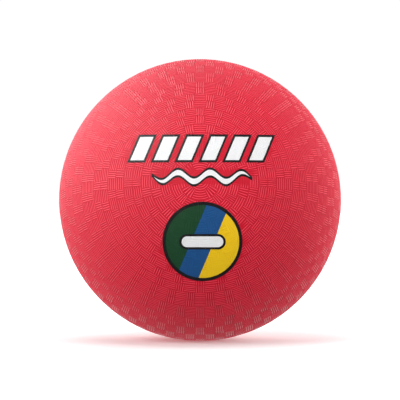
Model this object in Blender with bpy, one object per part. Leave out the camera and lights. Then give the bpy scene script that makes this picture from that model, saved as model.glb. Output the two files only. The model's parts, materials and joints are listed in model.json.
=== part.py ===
"""Playground ball, 8.5 inch size: a moulded rubber cover over a nylon-wound carcass and a butyl
bladder, with a press-in needle valve whose slit opens to let an inflation needle through.

Metres, +Z up. The origin is the ball's centre. The printed side faces -Y, and the needle valve
is on the far side, a little below the middle. The ball rests on a small flat at its lowest point,
where its weight flattens it.

Every turned piece is a profile of (radius, height) points around the valve axis. Its height is
measured from the ball's centre, outwards through the valve.
"""

import math

import bmesh
import bpy
from mathutils import Euler, Vector

# Ball and its layers, from the outside in
BALL_RADIUS = 0.10795            # 8.5 inches across when inflated
COVER_WALL = 0.0016              # two rubber plies, moulded together
WINDING_WALL = 0.0004            # nylon thread, wound in every direction
BLADDER_WALL = 0.0007
PATCH_WALL = 0.0006
FLANGE_WALL = 0.0010
BOND_GAP = 0.0003                # room left between two neighbouring pieces

# Facets. The layers share them, so that the gap between two layers is the same everywhere.
SEGMENTS = 48
RING_STEP = 360.0 / SEGMENTS     # degrees between two rings of facets
VALVE_RING_STEP = RING_STEP / 2  # near the valve the rings are closer together
VALVE_ZONE = 2 * RING_STEP       # degrees from the valve axis

# The valve axis leans below the horizontal by one ring of facets, so the ball's lowest point is
# in the middle of an edge between two facets.
VALVE_DROP = RING_STEP

# Flat under the resting ball: the area that carries its weight at its working pressure
BALL_WEIGHT = 4.2                # newtons
AIR_PRESSURE = 12000.0           # pascals above the air outside, about 1.75 psi
REST_RADIUS = math.sqrt(BALL_WEIGHT / AIR_PRESSURE / math.pi)
REST_HEIGHT = -math.sqrt(BALL_RADIUS ** 2 - REST_RADIUS ** 2)

# Valve plug: a head, a stem, a barb that holds it in its socket, and a nose behind the barb
HEAD_RADIUS = 0.0040
HEAD_RECESS = 0.0002             # the head sits this far below the cover's surface
HEAD_CHAMFER = 0.0002
STEM_RADIUS = 0.00275
BARB_RADIUS = 0.00375
NOSE_RADIUS = 0.00245
NEEDLE_HOLE_RADIUS = 0.0009      # stretches around a 2.1 mm needle
FUNNEL_RADIUS = 0.0014
FUNNEL_DEPTH = 0.0012
HEAD_TOP = BALL_RADIUS - HEAD_RECESS
BARB_TOP = 0.0975
BARB_SHOULDER = 0.0950
BARB_END = 0.0934
NOSE_END = 0.0913

# Valve housing: a neck through the layers, a flange under the patch and a boss inside the ball
NECK_RADIUS = 0.0055
BOSS_TOP_RADIUS = 0.0062
BOSS_END_RADIUS = 0.0050
BOSS_END = 0.0919
BOSS_FILLET = 0.0016
NECK_TOP = 0.10585

# Where the flange and the patch end, as angles from the valve axis at the ball's centre
FLANGE_RIM = 2 * VALVE_RING_STEP
PATCH_RIM = 3 * VALVE_RING_STEP

# Slit lips behind the plug's nose
LIP_LENGTH = 0.0045
LIP_TIP_THICKNESS = 0.0008
LIP_TIP_WIDTH_SCALE = 0.85
LIP_ARC_STEPS = 12
SLIT_WIDTH = 0.0003

MERGE_DISTANCE = 0.000001
SHARP_ANGLE = math.radians(35)

# Outer radius of each layer
WINDING_RADIUS = BALL_RADIUS - COVER_WALL - BOND_GAP
BLADDER_RADIUS = WINDING_RADIUS - WINDING_WALL - BOND_GAP
PATCH_RADIUS = BLADDER_RADIUS - BLADDER_WALL - BOND_GAP
FLANGE_RADIUS = PATCH_RADIUS - PATCH_WALL - BOND_GAP


# ---------------------------------------------------------------- scene and materials

def clear_scene():
    for obj in list(bpy.data.objects):
        bpy.data.objects.remove(obj)


def make_material(name, color, roughness, metallic=0.0):
    material = bpy.data.materials.new(name)
    material.use_nodes = True
    shader = material.node_tree.nodes["Principled BSDF"]
    shader.inputs["Base Color"].default_value = (*color, 1.0)
    shader.inputs["Roughness"].default_value = roughness
    shader.inputs["Metallic"].default_value = metallic
    return material


def add_object(name, mesh, material, parent, location=(0.0, 0.0, 0.0)):
    """Make the object of one piece, shade it smooth and hang it on its parent."""
    mesh.shade_smooth()
    mesh.set_sharp_from_angle(angle=SHARP_ANGLE)
    if not mesh.materials:
        mesh.materials.append(material)
    obj = bpy.data.objects.new(name, mesh)
    obj.parent = parent
    obj.location = location
    bpy.context.scene.collection.objects.link(obj)
    return obj


def make_valve_axis():
    """Empty at the ball's centre whose Z axis runs out through the valve, X staying level."""
    empty = bpy.data.objects.new("valve_axis", None)
    empty.rotation_euler = Euler((-math.radians(90 + VALVE_DROP), 0.0, 0.0))
    bpy.context.scene.collection.objects.link(empty)
    return empty


# ---------------------------------------------------------------- profiles

def edge_angle(hole_radius, sphere_radius):
    """Angle from the valve axis, in degrees, where a sphere is hole_radius from that axis."""
    return math.degrees(math.asin(hole_radius / sphere_radius))


def ring_angles(start, end):
    """Angles from start to end, in degrees, with every common ring between them."""
    near_count = round(VALVE_ZONE / VALVE_RING_STEP)
    far_count = round(180 / RING_STEP)
    rings = [step * VALVE_RING_STEP for step in range(1, near_count)]
    rings += [step * RING_STEP for step in range(2, far_count)]
    margin = 0.1 * VALVE_RING_STEP
    return [start] + [ring for ring in rings if start + margin < ring < end - margin] + [end]


def sphere_arc(sphere_radius, start, end):
    """Profile points on a sphere around the ball's centre, from one angle to the other."""
    angles = [math.radians(angle) for angle in ring_angles(start, end)]
    return [(sphere_radius * math.sin(a), sphere_radius * math.cos(a)) for a in angles]


def shell_profile(outer_radius, wall, hole_radius):
    """A hollow sphere with one round opening on the valve axis."""
    inner_radius = outer_radius - wall
    outside = sphere_arc(outer_radius, edge_angle(hole_radius, outer_radius), 180)
    inside = sphere_arc(inner_radius, edge_angle(hole_radius, inner_radius), 180)
    return outside[::-1] + inside


def patch_profile():
    """A round sheet under the bladder, with a hole for the housing's neck. It is a closed loop."""
    hole_radius = NECK_RADIUS + BOND_GAP
    inner_radius = PATCH_RADIUS - PATCH_WALL
    outside = sphere_arc(PATCH_RADIUS, edge_angle(hole_radius, PATCH_RADIUS), PATCH_RIM)
    inside = sphere_arc(inner_radius, edge_angle(hole_radius, inner_radius), PATCH_RIM)
    return outside + inside[::-1]


def plug_profile():
    """Valve plug, from the head's rim down to the nose and back up the needle hole."""
    head_bottom = NECK_TOP + BOND_GAP
    return [
        (HEAD_RADIUS - HEAD_CHAMFER, HEAD_TOP),
        (HEAD_RADIUS, HEAD_TOP - HEAD_CHAMFER),
        (HEAD_RADIUS, head_bottom),
        (STEM_RADIUS, head_bottom),
        (STEM_RADIUS, BARB_TOP),
        (BARB_RADIUS, BARB_TOP),
        (BARB_RADIUS, BARB_SHOULDER),
        (NOSE_RADIUS, BARB_END),
        (NOSE_RADIUS, NOSE_END),
        (NEEDLE_HOLE_RADIUS, NOSE_END),
        (NEEDLE_HOLE_RADIUS, HEAD_TOP - FUNNEL_DEPTH),
        (FUNNEL_RADIUS, HEAD_TOP),
    ]


def fillet_points(radius_start, height_start):
    """Quarter round from the boss's wall out to the flange, hollow towards the ball's inside."""
    points = []
    steps = 4
    for step in range(1, steps + 1):
        turn = math.radians(90 * step / steps)
        points.append((radius_start + BOSS_FILLET * (1 - math.cos(turn)),
                       height_start + BOSS_FILLET * math.sin(turn)))
    return points


def housing_profile():
    """Valve housing: the socket follows the plug, and the flange follows the bladder."""
    inner_radius = FLANGE_RADIUS - FLANGE_WALL
    neck_edge = edge_angle(NECK_RADIUS, FLANGE_RADIUS)
    fillet_edge = BOSS_TOP_RADIUS + BOSS_FILLET
    flange_bottom = math.sqrt(inner_radius ** 2 - fillet_edge ** 2)
    socket = [
        (STEM_RADIUS + BOND_GAP, NECK_TOP),
        (STEM_RADIUS + BOND_GAP, BARB_TOP + BOND_GAP),
        (BARB_RADIUS + BOND_GAP, BARB_TOP + BOND_GAP),
        (BARB_RADIUS + BOND_GAP, BARB_SHOULDER - BOND_GAP / 2),
        (NOSE_RADIUS + BOND_GAP, BARB_END - BOND_GAP / 2),
        (NOSE_RADIUS + BOND_GAP, BOSS_END),
    ]
    boss = [(BOSS_END_RADIUS, BOSS_END), (BOSS_TOP_RADIUS, flange_bottom - BOSS_FILLET)]
    boss += fillet_points(*boss[-1])
    underside = sphere_arc(inner_radius, edge_angle(fillet_edge, inner_radius), FLANGE_RIM)[1:]
    top = sphere_arc(FLANGE_RADIUS, neck_edge, FLANGE_RIM)[::-1]
    return socket + boss + underside + top + [(NECK_RADIUS, NECK_TOP)]


# ---------------------------------------------------------------- solids

def spin_profile(bm, profile, closed):
    """Turn a profile around the Z axis. A facet, not an edge, faces along +Y and -Y."""
    start = math.radians(RING_STEP / 2)
    verts = [bm.verts.new((r * math.cos(start), r * math.sin(start), h)) for r, h in profile]
    edges = [bm.edges.new(pair) for pair in zip(verts, verts[1:])]
    if closed:
        edges.append(bm.edges.new((verts[-1], verts[0])))
    bmesh.ops.spin(bm, geom=verts + edges, cent=(0, 0, 0), axis=(0, 0, 1), dvec=(0, 0, 0),
                   angle=2 * math.pi, steps=SEGMENTS, use_merge=True)
    bmesh.ops.remove_doubles(bm, verts=bm.verts[:], dist=MERGE_DISTANCE)
    bmesh.ops.recalc_face_normals(bm, faces=bm.faces[:])


def cut_rest_flat(bm, down):
    """Slice the cover level at its lowest point, and close the slice with one flat face."""
    bmesh.ops.bisect_plane(bm, geom=bm.verts[:] + bm.edges[:] + bm.faces[:],
                           plane_co=down * -REST_HEIGHT, plane_no=down, clear_outer=True)
    rim = [edge for edge in bm.edges if edge.is_boundary]
    bmesh.ops.holes_fill(bm, edges=rim, sides=len(rim))
    bmesh.ops.recalc_face_normals(bm, faces=bm.faces[:])


def turned_piece(name, profile, material, parent, closed=False, cut=None):
    """One object turned from a profile. A profile that isn't closed ends on the valve axis."""
    bm = bmesh.new()
    spin_profile(bm, profile, closed)
    if cut:
        cut(bm)
    mesh = bpy.data.meshes.new(name)
    bm.to_mesh(mesh)
    bm.free()
    return add_object(name, mesh, material, parent)


def lip_outline(thickness, width_scale, height):
    """Half disc on one side of the slit, seen along the valve axis.

    Its round back touches the hinge line at Y 0 and its flat face looks along -Y. A thickness
    below the full one squeezes it towards that flat face.
    """
    full_thickness = NOSE_RADIUS - SLIT_WIDTH / 2
    limit = math.acos(SLIT_WIDTH / 2 / NOSE_RADIUS)
    points = []
    for step in range(LIP_ARC_STEPS + 1):
        turn = limit * (2 * step / LIP_ARC_STEPS - 1)
        depth = NOSE_RADIUS * math.cos(turn) - SLIT_WIDTH / 2
        points.append(Vector((width_scale * NOSE_RADIUS * math.sin(turn),
                              depth * thickness / full_thickness - full_thickness, height)))
    return points


def make_lip_mesh():
    """Lip that tapers from the plug's nose to a thin tip. Its origin is on its hinge line."""
    full_thickness = NOSE_RADIUS - SLIT_WIDTH / 2
    bm = bmesh.new()
    root = bm.faces.new([bm.verts.new(p) for p in lip_outline(full_thickness, 1.0, 0.0)])
    grown = bmesh.ops.extrude_face_region(bm, geom=[root])["geom"]
    tip = [item for item in grown if isinstance(item, bmesh.types.BMFace)][0]
    tip_outline = lip_outline(LIP_TIP_THICKNESS, LIP_TIP_WIDTH_SCALE, -LIP_LENGTH)
    root_outline = lip_outline(full_thickness, 1.0, 0.0)
    for vert in tip.verts:
        nearest = min(range(len(root_outline)), key=lambda i: (root_outline[i] - vert.co).length)
        vert.co = tip_outline[nearest]
    bmesh.ops.recalc_face_normals(bm, faces=bm.faces[:])
    mesh = bpy.data.meshes.new("slit_lip")
    bm.to_mesh(mesh)
    bm.free()
    return mesh


# ---------------------------------------------------------------- pieces

def build_layers(axis):
    """Cover, winding and bladder, nested, each open at the valve."""
    down = axis.rotation_euler.to_matrix().transposed() @ Vector((0, 0, -1))
    red_rubber = make_material("red_cover_rubber", (0.72, 0.035, 0.07), 0.5)
    nylon = make_material("nylon_thread", (0.78, 0.74, 0.62), 0.7)
    butyl = make_material("butyl_rubber", (0.02, 0.02, 0.022), 0.6)
    neck_hole = NECK_RADIUS + BOND_GAP
    turned_piece("cover", shell_profile(BALL_RADIUS, COVER_WALL, HEAD_RADIUS + BOND_GAP),
                 red_rubber, axis, cut=lambda bm: cut_rest_flat(bm, down))
    turned_piece("nylon_winding", shell_profile(WINDING_RADIUS, WINDING_WALL, neck_hole),
                 nylon, axis)
    turned_piece("bladder", shell_profile(BLADDER_RADIUS, BLADDER_WALL, neck_hole), butyl, axis)


def build_valve(axis):
    """Patch, housing and plug on the valve axis, and the two lips of the plug's slit."""
    patch_rubber = make_material("patch_rubber", (0.06, 0.055, 0.05), 0.75)
    housing_rubber = make_material("housing_rubber", (0.03, 0.03, 0.032), 0.55)
    plug_rubber = make_material("plug_rubber", (0.025, 0.025, 0.027), 0.4)
    turned_piece("valve_patch", patch_profile(), patch_rubber, axis, closed=True)
    turned_piece("valve_housing", housing_profile(), housing_rubber, axis, closed=True)
    turned_piece("valve_plug", plug_profile(), plug_rubber, axis, closed=True)

    lip_mesh = make_lip_mesh()
    lip_top = NOSE_END - BOND_GAP
    add_object("slit_lip_lower", lip_mesh, plug_rubber, axis, (0, NOSE_RADIUS, lip_top))
    upper = add_object("slit_lip_upper", lip_mesh, plug_rubber, axis, (0, -NOSE_RADIUS, lip_top))
    upper.rotation_euler.z = math.pi


def main():
    clear_scene()
    axis = make_valve_axis()
    build_layers(axis)
    build_valve(axis)


main()
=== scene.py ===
"""Looks of the playground ball: a cover with a moulded basket weave, its printed marks, the rubber
and thread inside, a pale floor, soft light and a camera level with the ball.

The weave is drawn in rings round a pole on the printed side. The needle valve is at the other pole.
"""

import json
import math

import bpy
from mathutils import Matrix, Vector


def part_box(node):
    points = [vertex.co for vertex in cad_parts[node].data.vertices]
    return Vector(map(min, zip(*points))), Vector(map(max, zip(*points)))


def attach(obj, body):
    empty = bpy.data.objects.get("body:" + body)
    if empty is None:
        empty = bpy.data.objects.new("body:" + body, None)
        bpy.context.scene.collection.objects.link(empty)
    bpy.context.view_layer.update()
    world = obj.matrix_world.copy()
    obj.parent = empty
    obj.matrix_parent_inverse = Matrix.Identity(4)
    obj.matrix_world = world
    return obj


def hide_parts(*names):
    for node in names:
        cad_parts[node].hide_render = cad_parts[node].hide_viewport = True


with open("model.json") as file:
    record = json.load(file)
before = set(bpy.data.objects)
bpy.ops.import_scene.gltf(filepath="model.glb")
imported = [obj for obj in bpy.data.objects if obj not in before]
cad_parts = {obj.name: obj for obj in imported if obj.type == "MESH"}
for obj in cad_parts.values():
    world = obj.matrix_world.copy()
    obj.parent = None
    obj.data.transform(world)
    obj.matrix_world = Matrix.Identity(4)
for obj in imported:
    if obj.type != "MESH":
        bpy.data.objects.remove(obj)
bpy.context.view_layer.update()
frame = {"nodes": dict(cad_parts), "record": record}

# ---------------------------------------------------------------- sizes read from the frame

COVER_POINTS = [vert.co.copy() for vert in frame["nodes"]["cover"].data.vertices]
BALL_RADIUS = max(point.length for point in COVER_POINTS)
INNER_RADIUS = min(point.length for point in COVER_POINTS)
REST_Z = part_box("cover")[0][2]
VALVE_AXIS = Vector(next(mount["axis"] for mount in frame["record"]["mounts"]
                         if mount["name"] == "needle_port")).normalized()
OPENING_RADIUS = min((point - VALVE_AXIS * point.dot(VALVE_AXIS)).length
                     for point in COVER_POINTS if point.dot(VALVE_AXIS) > 0)

# ---------------------------------------------------------------- sizes of the weave (metres, degrees)

RINGS_PER_HALF = 23              # from a pole to the parting line, the disc at the pole included
PARTING_GAP = 1.3                # half of the plain band where the two halves of the mould meet
RING_PITCH = (90.0 - PARTING_GAP) / RINGS_PER_HALF
PRINTED_POLE_RINGS = 1           # a disc takes the place of this many rings
VALVE_POLE_RINGS = 2
RING_EDGE = 0.00014              # half of the narrow band left between two rings
BORDER_DEPTH = 0.00012           # of that band and of the line between two tiles

PAIR_LENGTH = 0.01475            # round a ring: one tile of each kind
RADIAL_SHARE = 0.43              # share of a pair for the tile whose ridges point at the pole
REPEATS = 4                      # the mould repeats this many times round a ring
SEAM_ANGLE = math.pi / 2         # where the tiles of all rings line up, straight above the pole
LONGEST_SPAN = 11.0              # a tile wider than this, seen from the pole's axis, is bent

RIDGES = 4                       # in one tile
RIDGE_PITCH = 0.00171            # between ridges that run along a ring
RIDGE_HEIGHT = 0.00034
RIDGE_BASE = 0.66                # shares of the distance between two ridges
RIDGE_TOP = 0.20
RIDGE_END_GAP = 0.00006          # least floor left at a ridge's end
RIDGE_END_SLOPE = 0.00010
INKED_RELIEF = 0.45              # share of the ridges' height left under the printed marks

POLE_CIRCLES = 4                 # raised circles on the disc at the printed pole
POLE_CIRCLE_SEGMENTS = 48
PARTING_WIDTH = 0.0006
PARTING_HEIGHT = 0.00018
PARTING_SEGMENTS = 180
PAD_DEPTH = RIDGE_HEIGHT / 2     # of the smooth pad round the valve
PAD_SLOPE = (0.002, 0.006)       # radians past the last ring between which the pad rises
PAD_RING_RADIUS = 0.0118         # thin raised circle round the valve
PAD_RING_WIDTH = 0.0009
PAD_RING_HEIGHT = 0.0004
OPENING_ROUND = 0.0004
OPENING_ROUND_STEPS = 4
INNER_SEGMENTS = 72
INNER_STEP = 5.0
FLAT_RELIEF = 0.1                # relief below which a point counts as floor


# ---------------------------------------------------------------- cover mesh

class CoverSurface:
    """Collects the cover's points and faces.

    A point is given by its angle from the printed pole, its angle round that pole and its depth
    below the ball's outer radius. All faces look away from the rubber.
    """

    def __init__(self):
        self.points = []
        self.relief = []
        self.faces = []
        self.ridge_ends = []
        self.pole = -VALVE_AXIS
        self.right = Vector((1.0, 0.0, 0.0))
        self.up = self.pole.cross(self.right)

    def direction(self, polar, around):
        flat = math.cos(around) * self.right + math.sin(around) * self.up
        return math.cos(polar) * self.pole + math.sin(polar) * flat

    def point(self, polar, around, depth):
        direction = self.direction(polar, around)
        if depth < RIDGE_HEIGHT and under_ink(direction * BALL_RADIUS):
            depth = RIDGE_HEIGHT + (depth - RIDGE_HEIGHT) * INKED_RELIEF
        self.points.append(direction * (BALL_RADIUS - depth))
        self.relief.append(1.0 - min(depth / RIDGE_HEIGHT, 1.0))
        return len(self.points) - 1

    def circle(self, polar, depth, count):
        """A closed circle as (angle, point) pairs in the order of their angles."""
        angles = [2 * math.pi * step / count for step in range(count)]
        return [(angle, self.point(polar, angle, depth)) for angle in angles]

    def join(self, inner, outer):
        """Fill the band between two circles of any point counts, outer further from the pole."""
        first = inner[0][0]
        nearest = min(range(len(outer)), key=lambda i: abs(wrapped(outer[i][0] - first)))
        turned = outer[nearest:] + outer[:nearest]
        base = turned[0][0]
        start = first + wrapped(base - first)
        turned = [(start + (angle - base) % (2 * math.pi), point) for angle, point in turned]
        self.join_chains(closed_chain(inner), closed_chain(turned))

    def join_chains(self, inner, outer):
        """Fill between two rows of (angle, point) pairs with triangles, shortest step first."""
        i = j = 0
        while i < len(inner) - 1 or j < len(outer) - 1:
            step_inner = i < len(inner) - 1
            if step_inner and j < len(outer) - 1:
                step_inner = inner[i + 1][0] + inner[i][0] < outer[j + 1][0] + outer[j][0]
            if step_inner:
                self.faces.append((inner[i][1], outer[j][1], inner[i + 1][1]))
                i += 1
            else:
                self.faces.append((inner[i][1], outer[j][1], outer[j + 1][1]))
                j += 1


def under_ink(place):
    """Whether a printed mark covers this place. The row of bars counts as one wide mark."""
    if place.y > 0:
        return False
    badge = math.hypot(place.x - BADGE_CENTRE[0], place.z - BADGE_CENTRE[1]) < BADGE_RADIUS
    row_z = place.z - BAR_ROW[1]
    row_x = place.x - BAR_ROW[0] - row_z * BAR_SLANT
    row = abs(row_z) < BAR_HEIGHT / 2 and abs(row_x) < BAR_PITCH * BAR_COUNT / 2
    wave = (abs(place.x - WAVE_ROW[0]) < WAVE_SPAN / 2
            and abs(place.z - WAVE_ROW[1]) < WAVE_SWING + WAVE_THICKNESS / 2)
    return badge or row or wave


def wrapped(angle):
    """The same angle between minus and plus half a turn."""
    return (angle + math.pi) % (2 * math.pi) - math.pi


def closed_chain(circle):
    """The circle with its first point again at its end, one turn further on."""
    return circle + [(circle[0][0] + 2 * math.pi, circle[0][1])]


def ridge_edges(pitch):
    """Edges of each ridge across a tile: foot, top, top and foot, as shares of the tile."""
    offsets = (-RIDGE_BASE / 2, -RIDGE_TOP / 2, RIDGE_TOP / 2, RIDGE_BASE / 2)
    middle = (RIDGES - 1) / 2
    return [[0.5 + pitch * (ridge - middle + offset) for offset in offsets]
            for ridge in range(RIDGES)]


def add_ridge(surface, place, edges, stations, slope):
    """One raised bar through the stations along the tile. Returns its two rows of foot points."""
    tops = [stations[0] + slope] + stations[1:-1] + [stations[-1] - slope]
    foot = [place(edges[0], along, RIDGE_HEIGHT) for along in stations]
    crest = [place(edges[1], along, 0.0) for along in tops]
    far_crest = [place(edges[2], along, 0.0) for along in tops]
    far_foot = [place(edges[3], along, RIDGE_HEIGHT) for along in stations]
    for left, right in ((foot, crest), (crest, far_crest), (far_crest, far_foot)):
        add_strip(surface, left, right)
    ends = [(foot[0], far_foot[0], far_crest[0], crest[0]),
            (far_foot[-1], foot[-1], crest[-1], far_crest[-1])]
    surface.faces += ends
    surface.ridge_ends += ends
    return [foot, far_foot]


def add_strip(surface, left, right):
    """Quads between two rows of points that run along a tile, right further across it."""
    for i in range(len(left) - 1):
        surface.faces.append((left[i], right[i], right[i + 1], left[i + 1]))


def add_tile(surface, place, pitch, length, gap, sides, ends):
    """Four ridges and the floor round them, laid out across and along the ridges.

    place turns shares across and along the tile into a point. sides are the tile's edges beside
    the ridges, as points, and ends its edges across them, as (share, point) pairs. gap is the
    share of the tile's length that a ridge leaves free at each end.
    """
    spans = len(sides[0]) - 1
    stations = [gap] + [step / spans for step in range(1, spans)] + [1.0 - gap]
    ridges = ridge_edges(pitch)
    rows = [sides[0]]
    for edges in ridges:
        rows += add_ridge(surface, place, edges, stations, RIDGE_END_SLOPE / length)
    rows.append(sides[1])
    for left, right in zip(rows[::2], rows[1::2]):
        add_strip(surface, left, right)
    shares = [share for edges in ridges for share in (edges[0], edges[3])]
    surface.join_chains([(share, row[0]) for share, row in zip(shares, rows[1:-1])], ends[0])
    surface.join_chains(ends[1], [(share, row[-1]) for share, row in zip(shares, rows[1:-1])])


def add_radial_tile(surface, near, far, start, width, edges):
    """Tile whose ridges point at the pole. edges are its points on the ring's two edges.

    The edges are straight between their points, so the ridges stop short of them by their bulge.
    """
    def place(across, along, depth):
        return surface.point(near + (far - near) * along, start + width * across, depth)

    first_face = len(surface.faces)
    sides = [[edge[side][1] for edge in edges] for side in (0, -1)]
    ends = [[((angle - start) / width, point) for angle, point in edge] for edge in edges]
    span = width / (len(edges[0]) - 1)
    bulge = abs(math.sin(near + far)) * span * span / 16
    gap = (RIDGE_END_GAP / BALL_RADIUS + bulge) / (far - near)
    add_tile(surface, place, 1.0 / RIDGES, BALL_RADIUS * (far - near), gap, sides, ends)
    surface.faces[first_face:] = [face[::-1] for face in surface.faces[first_face:]]


def add_ring_tile(surface, near, far, start, width, edges):
    """Tile whose ridges run along the ring. edges are its points on the ring's two edges."""
    def place(across, along, depth):
        return surface.point(near + (far - near) * across, start + width * along, depth)

    sides = [[point for _, point in edge] for edge in edges]
    ends = [[(share, edge[end][1]) for share, edge in enumerate(edges)] for end in (0, -1)]
    pitch = RIDGE_PITCH / (BALL_RADIUS * (far - near))
    length = BALL_RADIUS * math.sin((near + far) / 2) * width
    add_tile(surface, place, pitch, length, RIDGE_END_GAP / length, sides, ends)


def ring_edge_angle(ring):
    """Angle from the printed pole where a ring starts. The rear rings count back from the valve."""
    if ring < RINGS_PER_HALF:
        return math.radians(ring * RING_PITCH)
    return math.pi - math.radians((2 * RINGS_PER_HALF - ring) * RING_PITCH)


def ring_tiles(ring):
    """Start angle, width, number of spans and kind of each tile: True if its ridges are radial.

    At the seam angle two neighbouring rings have the same kind of tile, and the next two the other.
    """
    from_pole = min(ring, 2 * RINGS_PER_HALF - 1 - ring)
    girth = 2 * math.pi * BALL_RADIUS * math.sin(math.radians((from_pole + 0.5) * RING_PITCH))
    pairs = REPEATS * max(1, round(girth / PAIR_LENGTH / REPEATS))
    pair_width = 2 * math.pi / pairs
    widths = {True: pair_width * RADIAL_SHARE, False: pair_width * (1.0 - RADIAL_SHARE)}
    radial = from_pole // 2 % 2 == 1
    start = SEAM_ANGLE - widths[radial] / 2
    tiles = []
    for _ in range(2 * pairs):
        spans = math.ceil(math.degrees(widths[radial]) / LONGEST_SPAN)
        tiles.append((start, widths[radial], spans, radial))
        start += widths[radial]
        radial = not radial
    return tiles


def add_ring(surface, ring):
    """One ring of tiles. Returns its two edge circles, which hold the corners of its tiles."""
    near = ring_edge_angle(ring) + RING_EDGE / BALL_RADIUS
    far = ring_edge_angle(ring) + math.radians(RING_PITCH) - RING_EDGE / BALL_RADIUS
    tiles = ring_tiles(ring)
    angles = [start + width * step / spans
              for start, width, spans, _ in tiles for step in range(spans)]
    circles = [[(angle, surface.point(polar, angle, BORDER_DEPTH)) for angle in angles]
               for polar in (near, far)]
    chains = [closed_chain(circle) for circle in circles]
    first = 0
    for start, width, spans, radial in tiles:
        edges = [chain[first:first + spans + 1] for chain in chains]
        add = add_radial_tile if radial else add_ring_tile
        add(surface, near, far, start, width, edges)
        first += spans
    return circles


def add_printed_pole(surface):
    """Disc of raised circles at the printed pole. Returns its outermost circle."""
    pitch = math.radians(PRINTED_POLE_RINGS * RING_PITCH) / (POLE_CIRCLES + 0.5)
    centre = surface.point(0.0, 0.0, RIDGE_HEIGHT)
    last = surface.circle(pitch / 2, RIDGE_HEIGHT, POLE_CIRCLE_SEGMENTS)
    for (_, a), (_, b) in zip(last, last[1:] + last[:1]):
        surface.faces.append((centre, a, b))
    profile = []
    for circle in range(1, POLE_CIRCLES + 1):
        profile += [(pitch * (circle - RIDGE_BASE / 2), RIDGE_HEIGHT),
                    (pitch * (circle - RIDGE_TOP / 2), 0.0),
                    (pitch * (circle + RIDGE_TOP / 2), 0.0),
                    (pitch * (circle + RIDGE_BASE / 2), RIDGE_HEIGHT)]
    return add_circles(surface, last, profile, POLE_CIRCLE_SEGMENTS)


def add_circles(surface, last, profile, segments):
    """Carry the surface on from the circle last through a profile of (polar, depth) pairs."""
    for polar, depth in profile:
        circle = surface.circle(polar, depth, segments)
        surface.join(last, circle)
        last = circle
    return last


def add_parting_line(surface, last):
    """Fine raised line where the two halves of the mould meet."""
    half = PARTING_WIDTH / 2 / BALL_RADIUS
    middle = math.pi / 2
    profile = [(middle - half, RIDGE_HEIGHT), (middle - half / 2, RIDGE_HEIGHT - PARTING_HEIGHT),
               (middle + half / 2, RIDGE_HEIGHT - PARTING_HEIGHT), (middle + half, RIDGE_HEIGHT)]
    return add_circles(surface, last, profile, PARTING_SEGMENTS)


def add_valve_pad(surface, last):
    """Smooth pad with a thin raised circle, a rounded opening and the wall down to the inside."""
    def polar_at(radius):
        return math.pi - math.asin(radius / BALL_RADIUS)

    half = PAD_RING_WIDTH / 2
    pad_edge = math.pi - math.radians(VALVE_POLE_RINGS * RING_PITCH)
    profile = [(pad_edge + PAD_SLOPE[0], RIDGE_HEIGHT),
               (pad_edge + PAD_SLOPE[1], PAD_DEPTH),
               (polar_at(PAD_RING_RADIUS + half), PAD_DEPTH),
               (polar_at(PAD_RING_RADIUS + half / 3), PAD_DEPTH - PAD_RING_HEIGHT),
               (polar_at(PAD_RING_RADIUS - half / 3), PAD_DEPTH - PAD_RING_HEIGHT),
               (polar_at(PAD_RING_RADIUS - half), PAD_DEPTH)]
    for step in range(OPENING_ROUND_STEPS + 1):
        turn = math.pi / 2 * step / OPENING_ROUND_STEPS
        profile.append((polar_at(OPENING_RADIUS + OPENING_ROUND * (1 - math.sin(turn))),
                        PAD_DEPTH + OPENING_ROUND * (1 - math.cos(turn))))
    profile.append((math.pi - math.asin(OPENING_RADIUS / INNER_RADIUS), BALL_RADIUS - INNER_RADIUS))
    return add_circles(surface, last, profile, INNER_SEGMENTS)


def add_inside(surface, last):
    """Inner surface of the cover, from the valve opening back to a point at the printed pole."""
    wall = BALL_RADIUS - INNER_RADIUS
    steps = round(180 / INNER_STEP)
    start = surface.points[last[0][1]].angle(surface.pole)
    for step in range(steps - 1, 0, -1):
        polar = math.radians(INNER_STEP * step)
        if polar > start - math.radians(INNER_STEP / 3):
            continue
        circle = surface.circle(polar, wall, INNER_SEGMENTS)
        for k in range(INNER_SEGMENTS):
            after = (k + 1) % INNER_SEGMENTS
            surface.faces.append((last[k][1], circle[k][1], circle[after][1], last[after][1]))
        last = circle
    centre = surface.point(0.0, 0.0, wall)
    for (_, a), (_, b) in zip(last, last[1:] + last[:1]):
        surface.faces.append((b, a, centre))


def mark_sharp_edges(mesh, surface):
    """Shade sharp the feet and the ends of the ridges, so that only their tops look rounded."""
    sharp = set()
    for face in mesh.polygons:
        if any(surface.relief[point] > FLAT_RELIEF for point in face.vertices):
            sharp.update(key for key in face.edge_keys
                         if surface.relief[key[0]] + surface.relief[key[1]] < FLAT_RELIEF)
    for end in surface.ridge_ends:
        sharp.update((min(pair), max(pair)) for pair in zip(end, end[1:] + end[:1]))
    marks = mesh.attributes.new("sharp_edge", "BOOLEAN", "EDGE")
    marks.data.foreach_set("value", [edge.key in sharp for edge in mesh.edges])


def build_cover():
    """The whole cover as one closed mesh, flattened where the ball rests."""
    surface = CoverSurface()
    last = add_printed_pole(surface)
    for ring in range(PRINTED_POLE_RINGS, 2 * RINGS_PER_HALF - VALVE_POLE_RINGS):
        near_circle, far_circle = add_ring(surface, ring)
        surface.join(last, near_circle)
        last = far_circle
        if ring == RINGS_PER_HALF - 1:
            last = add_parting_line(surface, last)
    last = add_valve_pad(surface, last)
    add_inside(surface, last)
    for point in surface.points:
        point.z = max(point.z, REST_Z)

    mesh = bpy.data.meshes.new("woven_cover")
    mesh.from_pydata(surface.points, [], surface.faces)
    relief = mesh.attributes.new("relief", "FLOAT", "POINT")
    relief.data.foreach_set("value", surface.relief)
    mesh.shade_smooth()
    mark_sharp_edges(mesh, surface)
    cover = bpy.data.objects.new("woven_cover", mesh)
    bpy.context.scene.collection.objects.link(cover)
    return cover


# ---------------------------------------------------------------- shader arithmetic

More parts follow.
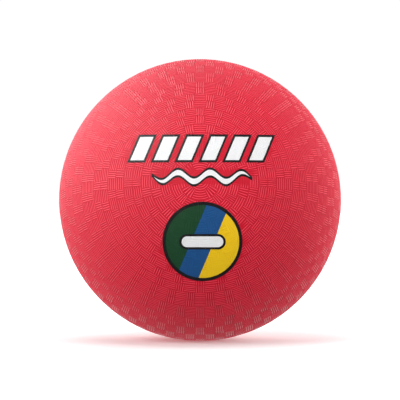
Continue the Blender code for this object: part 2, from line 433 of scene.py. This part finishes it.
class Field:
    """One number at every point of a surface, with arithmetic that becomes shader nodes."""

    def __init__(self, tree, value):
        self.tree = tree
        self.value = value

    def math(self, operation, *others, clamp=False):
        node = self.tree.nodes.new("ShaderNodeMath")
        node.operation = operation
        node.use_clamp = clamp
        for i, item in enumerate((self,) + others):
            value = item.value if isinstance(item, Field) else item
            if isinstance(value, (int, float)):
                node.inputs[i].default_value = value
            else:
                self.tree.links.new(value, node.inputs[i])
        return Field(self.tree, node.outputs[0])

    def __add__(self, other):
        return self.math("ADD", other)

    def __sub__(self, other):
        return self.math("SUBTRACT", other)

    def __mul__(self, other):
        return self.math("MULTIPLY", other)

    def __truediv__(self, other):
        return self.math("DIVIDE", other)

    def absolute(self):
        return self.math("ABSOLUTE")

    def least(self, other):
        return self.math("MINIMUM", other)

    def most(self, other):
        return self.math("MAXIMUM", other)

    def below(self, limit):
        """1 where this is less than the limit, and 0 elsewhere."""
        return self.math("LESS_THAN", limit)

    def clamped(self):
        return self.math("ADD", 0.0, clamp=True)


def distance(x, z):
    """Length of the vector (x, z)."""
    return (x * x + z * z).math("SQRT")


class Paint:
    """Builds one material: its coordinates, noises, colour layers and shader."""

    def __init__(self, name, specular=0.5):
        self.material = bpy.data.materials.new(name)
        self.material.use_nodes = True
        self.tree = self.material.node_tree
        self.shader = self.tree.nodes["Principled BSDF"]
        self.shader.inputs["Specular IOR Level"].default_value = specular
        self.place = self.tree.nodes.new("ShaderNodeTexCoord").outputs["Object"]
        split = self.tree.nodes.new("ShaderNodeSeparateXYZ")
        self.tree.links.new(self.place, split.inputs[0])
        self.x, self.y, self.z = (Field(self.tree, out) for out in split.outputs)

    def noise(self, size, detail=2.0):
        """Soft noise from 0 to 1 whose lumps are about size metres across."""
        node = self.tree.nodes.new("ShaderNodeTexNoise")
        node.inputs["Scale"].default_value = 1.0 / size
        node.inputs["Detail"].default_value = detail
        self.tree.links.new(self.place, node.inputs["Vector"])
        return Field(self.tree, node.outputs["Fac"])

    def attribute(self, name):
        node = self.tree.nodes.new("ShaderNodeAttribute")
        node.attribute_name = name
        return Field(self.tree, node.outputs["Fac"])

    def mix(self, share, first, second):
        """Colour that goes from first to second as share goes from 0 to 1."""
        node = self.tree.nodes.new("ShaderNodeMix")
        node.data_type = "RGBA"
        self.tree.links.new(share.value, node.inputs["Factor"])
        for socket, color in ((node.inputs[6], first), (node.inputs[7], second)):
            if isinstance(color, tuple):
                socket.default_value = (*color, 1.0)
            else:
                self.tree.links.new(color, socket)
        return node.outputs[2]

    def color(self, value):
        self.tree.links.new(value, self.shader.inputs["Base Color"])

    def roughness(self, value):
        socket = self.shader.inputs["Roughness"]
        if isinstance(value, Field):
            self.tree.links.new(value.value, socket)
        else:
            socket.default_value = value

    def bump(self, height, depth):
        """Fine surface grain: a height from 0 to 1 stands for depth metres."""
        node = self.tree.nodes.new("ShaderNodeBump")
        node.inputs["Distance"].default_value = depth
        self.tree.links.new(height.value, node.inputs["Height"])
        self.tree.links.new(node.outputs[0], self.shader.inputs["Normal"])


# ---------------------------------------------------------------- colours, and printed marks (metres)

RED = (0.78, 0.013, 0.043)
# deeper red: painted shade for the floors between the ridges
RED_PAINTED_SHADE = (0.60, 0.006, 0.023)
# paler red: a painted highlight along the tops of the ridges
RED_PAINTED_HIGHLIGHT = (0.94, 0.074, 0.119)
INK_WHITE = (0.90, 0.90, 0.91)
INK_BLACK = (0.010, 0.009, 0.010)
INK_GREEN = (0.010, 0.060, 0.022)
INK_YELLOW = (0.94, 0.60, 0.012)
INK_BLUE = (0.012, 0.085, 0.26)

BAR_COUNT = 6                    # slanted white bars across the upper part of the print
BAR_PITCH = 0.0172
BAR_WIDTH = 0.0098
BAR_HEIGHT = 0.0170
BAR_SLANT = 0.42
BAR_ROW = (0.0010, 0.0372)       # middle of the row, as X and Z
OUTLINE = 0.0017

WAVE_ROW = (0.0015, 0.0165)
WAVE_LENGTH = 0.0230
WAVE_SWING = 0.0032
WAVE_THICKNESS = 0.0040
WAVE_SPAN = 0.0690

BADGE_CENTRE = (0.0018, -0.0300)
BADGE_RADIUS = 0.0288
BADGE_OUTLINE = 0.0024
BADGE_BAND = 0.0165              # width of the middle one of its three slanted bands
PILL_LENGTH = 0.0300
PILL_HEIGHT = 0.0078


def bar_distance(paint):
    """How far outside the nearest slanted bar a point is, negative inside."""
    row_z = paint.z - BAR_ROW[1]
    slanted_x = paint.x - BAR_ROW[0] - row_z * BAR_SLANT
    last = (BAR_COUNT - 1) / 2
    number = (slanted_x / BAR_PITCH + last).math("ROUND").most(0.0).least(BAR_COUNT - 1.0)
    offset = slanted_x - (number - last) * BAR_PITCH
    across = offset.absolute() - BAR_WIDTH / 2
    return across.most(row_z.absolute() - BAR_HEIGHT / 2)


def wave_distance(paint):
    """How far outside the wavy stripe a point is, negative inside. Its ends taper off."""
    x = paint.x - WAVE_ROW[0]
    crest = (x * (2 * math.pi / WAVE_LENGTH)).math("SINE") * WAVE_SWING
    taper = (x.absolute() / (WAVE_SPAN / 2)).math("POWER", 4.0)
    half = (taper * -WAVE_THICKNESS / 2) + WAVE_THICKNESS / 2
    stripe = (paint.z - WAVE_ROW[1] - crest).absolute() - half
    return stripe.most(x.absolute() - WAVE_SPAN / 2)


def print_marks(paint, base):
    """Lay the marks over the rubber's colour. Returns the colour and where there is ink."""
    front = paint.y.below(0.0)
    color = base
    covered = None
    for shape in (bar_distance(paint), wave_distance(paint)):
        outline = shape.below(OUTLINE) * front
        color = paint.mix(outline, color, INK_BLACK)
        color = paint.mix(shape.below(0.0) * front, color, INK_WHITE)
        covered = outline if covered is None else covered.most(outline)

    x, z = paint.x - BADGE_CENTRE[0], paint.z - BADGE_CENTRE[1]
    badge = distance(x, z).below(BADGE_RADIUS) * front
    inside = distance(x, z).below(BADGE_RADIUS - BADGE_OUTLINE) * front
    across = x - z * BAR_SLANT
    color = paint.mix(badge, color, INK_BLACK)
    color = paint.mix(inside, color, INK_YELLOW)
    color = paint.mix(across.below(BADGE_BAND / 2) * inside, color, INK_BLUE)
    color = paint.mix(across.below(-BADGE_BAND / 2) * inside, color, INK_GREEN)
    pill = distance((x.absolute() - PILL_LENGTH / 2 + PILL_HEIGHT / 2).most(0.0), z)
    pill = pill - PILL_HEIGHT / 2
    color = paint.mix(pill.below(OUTLINE) * front, color, INK_BLACK)
    color = paint.mix(pill.below(0.0) * front, color, INK_WHITE)
    return color, covered.most(badge)


# ---------------------------------------------------------------- materials

THREAD_PITCH = 0.0007            # between two threads of the winding


def cover_material():
    """Satin red rubber with the print; the deeper red between the ridges is painted shade and the
    paler red along their tops a painted highlight.
    """
    paint = Paint("cover_rubber", specular=0.30)
    cloud = paint.noise(0.06)
    speck = paint.noise(0.0012, detail=3.0)
    relief = paint.attribute("relief")
    # Painted shade: the floors between the ridges take the deeper red, mottled at random by the cloud
    # noise.
    height = (relief * 0.8 + cloud * 0.3 - 0.05).clamped()
    # Painted highlight: the ridge tops take the paler red, broken up by specks.
    top = (relief * 3.0 - 2.1 + speck * 0.3).clamped()
    rubber = paint.mix(height, RED_PAINTED_SHADE, RED)
    rubber = paint.mix(top, rubber, RED_PAINTED_HIGHLIGHT)
    color, ink = print_marks(paint, rubber)
    paint.color(color)
    paint.roughness(cloud * 0.08 + 0.62 - relief * 0.14 - ink * 0.10)
    paint.bump(paint.noise(0.0005, detail=4.0) + paint.noise(0.004) * 2.0, 0.00002)
    return paint.material


def rubber_material(name, color, bloom, roughness, grain):
    """Black rubber with a pale bloom in patches and a fine moulded grain."""
    paint = Paint(name)
    patches = (paint.noise(0.008, detail=4.0) * 2.4 - 0.8).clamped()
    paint.color(paint.mix(patches, color, bloom))
    paint.roughness(patches * 0.2 + roughness - 0.1)
    paint.bump(paint.noise(grain, detail=4.0), grain / 8)
    return paint.material


def thread_material():
    """Nylon thread laid in three crossing directions over one another."""
    paint = Paint("nylon_thread")
    paint.roughness(0.6)
    layers = []
    for across in (paint.x + paint.z * 0.35, paint.z - paint.y * 0.4, paint.y + paint.x * 0.5):
        layers.append((across * (2 * math.pi / THREAD_PITCH)).math("SINE") * 0.5 + 0.5)
    band = paint.noise(0.02)
    first = band.below(0.46)
    last = (band * -1.0).below(-0.54)
    middle = (first + last) * -1.0 + 1.0
    weave = layers[0] * first + layers[1] * middle + layers[2] * last
    shade = (weave * 0.8 + paint.noise(0.003) * 0.3).clamped()
    paint.color(paint.mix(shade, (0.30, 0.25, 0.17), (0.82, 0.78, 0.66)))
    paint.bump(weave, 0.0002)
    return paint.material


def paint_nodes():
    """Give every piece from the frame that stays in view its own material."""
    black = (0.012, 0.012, 0.013)
    materials = {
        "nylon_winding": thread_material(),
        "bladder": rubber_material("butyl_rubber", black, (0.035, 0.034, 0.033), 0.45, 0.0012),
        "valve_patch": rubber_material("patch_rubber", (0.03, 0.028, 0.025),
                                       (0.07, 0.066, 0.06), 0.75, 0.0006),
        "valve_housing": rubber_material("housing_rubber", (0.016, 0.016, 0.017),
                                         (0.04, 0.04, 0.04), 0.5, 0.0005),
    }
    plug = rubber_material("plug_rubber", black, (0.03, 0.03, 0.031), 0.38, 0.0004)
    materials.update({name: plug for name in ("valve_plug", "slit_lip_lower", "slit_lip_upper")})
    for name, material in materials.items():
        mesh = frame["nodes"][name].data
        mesh.materials.clear()
        mesh.materials.append(material)


# ---------------------------------------------------------------- floor, light and camera

FLOOR_SIZE = 30.0
CAMERA_DISTANCE = 1.6
FRAME_SHARE = 0.705              # the ball's width over the frame's
WHITE = (1.0, 1.0, 1.0)
FLOOR_GLOW = 0.15                # strength under the ball
FLOOR_GLOW_RISE = 1.2            # per metre away from it
FLOOR_GLOW_LIMIT = 1.1
AMBIENT_LIGHT = 0.12             # from all round
REAR_LIGHT = 1.7                 # more of it from straight behind the ball
BACKGROUND_LIGHT = 1.02          # as the camera sees it


def add_floor():
    """Pale floor that catches the ball's shadow and fades into the background further away.

    It doesn't light the ball from below, nor hide any light from it.
    """
    half = FLOOR_SIZE / 2
    mesh = bpy.data.meshes.new("floor")
    mesh.from_pydata([(-half, -half, REST_Z), (half, -half, REST_Z),
                      (half, half, REST_Z), (-half, half, REST_Z)], [], [(0, 1, 2, 3)])
    floor = bpy.data.objects.new("floor", mesh)
    bpy.context.scene.collection.objects.link(floor)
    paint = Paint("floor", specular=0.0)
    paint.roughness(0.9)
    paint.color(paint.mix(paint.noise(0.5), (0.90, 0.90, 0.90), (0.93, 0.93, 0.93)))
    paint.shader.inputs["Emission Color"].default_value = (*WHITE, 1.0)
    glow = (distance(paint.x, paint.y) * FLOOR_GLOW_RISE + FLOOR_GLOW).least(FLOOR_GLOW_LIMIT)
    paint.tree.links.new(glow.value, paint.shader.inputs["Emission Strength"])
    mesh.materials.append(paint.material)
    floor.visible_diffuse = False
    floor.visible_glossy = False
    floor.visible_shadow = False


def add_soft_light(name, place, size, power, matte=True, gloss=True):
    """Round soft light that looks at the ball, and feeds its matt shading, its gloss or both."""
    light = bpy.data.lights.new(name, "AREA")
    light.shape = "DISK"
    light.size = size
    light.energy = power
    lamp = bpy.data.objects.new(name, light)
    lamp.location = place
    lamp.rotation_mode = "QUATERNION"
    lamp.rotation_quaternion = (-Vector(place)).to_track_quat("-Z", "Y")
    lamp.visible_diffuse = matte
    lamp.visible_glossy = gloss
    bpy.context.scene.collection.objects.link(lamp)


def add_surroundings():
    """White background that gives the ball more light from behind than from the front."""
    world = bpy.data.worlds.new("studio")
    world.use_nodes = True
    tree = world.node_tree
    background = tree.nodes["Background"]
    direction = tree.nodes.new("ShaderNodeTexCoord").outputs["Generated"]
    split = tree.nodes.new("ShaderNodeSeparateXYZ")
    tree.links.new(direction, split.inputs[0])
    light = Field(tree, split.outputs[1]).most(0.0) * REAR_LIGHT + AMBIENT_LIGHT
    seen = Field(tree, tree.nodes.new("ShaderNodeLightPath").outputs["Is Camera Ray"])
    strength = light * (seen * -1.0 + 1.0) + seen * BACKGROUND_LIGHT
    background.inputs["Color"].default_value = (*WHITE, 1.0)
    tree.links.new(strength.value, background.inputs["Strength"])
    bpy.context.scene.world = world


def add_camera():
    """Camera level with the ball's middle, looking straight at the print."""
    data = bpy.data.cameras.new("camera")
    edge = math.tan(math.asin(BALL_RADIUS / CAMERA_DISTANCE))
    data.angle = 2 * math.atan(edge / FRAME_SHARE)
    camera = bpy.data.objects.new("camera", data)
    camera.location = (0.0, -CAMERA_DISTANCE, 0.0)
    camera.rotation_euler = (math.pi / 2, 0.0, 0.0)
    bpy.context.scene.collection.objects.link(camera)
    bpy.context.scene.camera = camera
    bpy.context.scene.view_settings.view_transform = "Standard"


# ---------------------------------------------------------------- the scene

woven_cover = build_cover()
woven_cover.data.materials.append(cover_material())
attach(woven_cover, "ball")
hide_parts("cover")
paint_nodes()

add_floor()
add_surroundings()
add_soft_light("key", (-1.3, -1.4, 1.0), 1.2, 20.2)
add_soft_light("top", (-0.2, -0.5, 1.9), 1.2, 11.5)
add_soft_light("sheen", (-1.4, 0.15, 1.1), 2.2, 76.0, matte=False)
add_soft_light("right_fill", (1.7, -0.9, 0.3), 1.4, 25.0, gloss=False)
add_soft_light("left_fill", (-1.5, -1.2, -0.5), 1.2, 17.5, gloss=False)
add_soft_light("rear_fill", (1.5, 0.9, 0.6), 1.4, 11.0, gloss=False)
add_camera()
